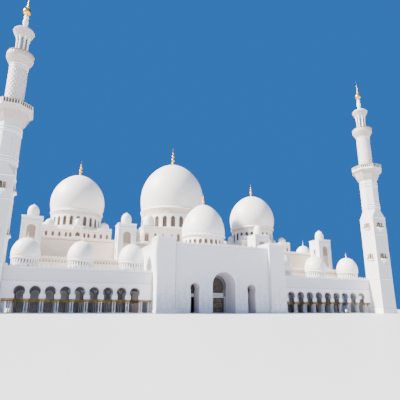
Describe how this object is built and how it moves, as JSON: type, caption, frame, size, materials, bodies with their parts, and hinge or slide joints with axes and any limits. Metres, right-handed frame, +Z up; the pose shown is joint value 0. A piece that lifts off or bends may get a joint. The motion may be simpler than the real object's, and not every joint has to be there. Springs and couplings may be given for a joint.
{
  "type": "mosque building, 1:10 scale model",
  "caption": "Domed prayer hall with an arched entrance portal, domed arcades and tall minarets, hollow, with hinged entrance doors, at one tenth scale.",
  "frame": {"origin": "on the ground, at the middle of the footprint of the whole building with its minarets", "axes": "+X to the right along the arcades, -Y towards the courtyard in front of the portal, +Z up"},
  "size_m": [15.71, 9.65, 10.7],
  "materials": {
    "white_marble": "honed white marble cladding",
    "dome_marble": "smooth white marble shell",
    "cream_stone": "honed cream stone in courses",
    "paving": "polished white paving",
    "gilding": "polished gold leaf",
    "door_bronze": "dark bronze door leaf",
    "fanlight_lattice": "bronze lattice on dark glass"
  },
  "bodies": {
    "building": {"floor_slab": "paving", "portal_front_wall": "white_marble", "portal_roof": "white_marble", "entrance_vault": "white_marble", "entrance_screen": "white_marble", "entrance_fanlight": "fanlight_lattice", "entrance_dome": "dome_marble", "entrance_finial": "gilding", "hall_front_wall": "cream_stone", "hall_back_wall": "cream_stone", "hall_roof": "cream_stone", "main_dome_block": "cream_stone", "main_dome": "dome_marble", "main_finial": "gilding", "left_portal_flank": "white_marble", "left_portal_vault": "white_marble", "left_arcade_wall": "white_marble", "left_arcade_columns": "white_marble", "left_arcade_roof": "white_marble", "left_gallery_wall": "cream_stone", "left_gallery_roof": "cream_stone", "left_hall_side_wall": "cream_stone", "left_dome_block": "cream_stone", "left_side_dome": "dome_marble", "left_side_finial": "gilding", "left_corner_dome": "dome_marble", "left_arcade_dome_1": "dome_marble", "left_arcade_dome_2": "dome_marble", "left_arcade_dome_3": "dome_marble", "left_inner_tower": "cream_stone", "left_outer_tower": "cream_stone", "left_minaret_lower_shaft": "white_marble", "left_minaret_round_shaft": "white_marble", "left_minaret_lantern": "white_marble", "left_minaret_finial": "gilding", "right_portal_flank": "white_marble", "right_portal_vault": "white_marble", "right_arcade_wall": "white_marble", "right_arcade_columns": "white_marble", "right_arcade_roof": "white_marble", "right_gallery_wall": "cream_stone", "right_gallery_roof": "cream_stone", "right_hall_side_wall": "cream_stone", "right_dome_block": "cream_stone", "right_side_dome": "dome_marble", "right_side_finial": "gilding", "right_corner_dome": "dome_marble", "right_arcade_dome_1": "dome_marble", "right_arcade_dome_2": "dome_marble", "right_arcade_dome_3": "dome_marble", "right_inner_tower": "cream_stone", "right_outer_tower": "cream_stone", "right_minaret_lower_shaft": "white_marble", "right_minaret_round_shaft": "white_marble", "right_minaret_lantern": "white_marble", "right_minaret_finial": "gilding"},
    "left_door": {"left_door_leaf": "door_bronze"},
    "right_door": {"right_door_leaf": "door_bronze"}
  },
  "joints": [
    {"name": "left_door_hinge", "type": "hinge", "parent": "building", "child": "left_door", "pos_m": [-0.312, -3.62, 0.27], "axis": [0, 0, 1], "range_deg": [0, 90]},
    {"name": "right_door_hinge", "type": "hinge", "parent": "building", "child": "right_door", "pos_m": [0.312, -3.62, 0.27], "axis": [0, 0, -1], "range_deg": [0, 90]}
  ]
}
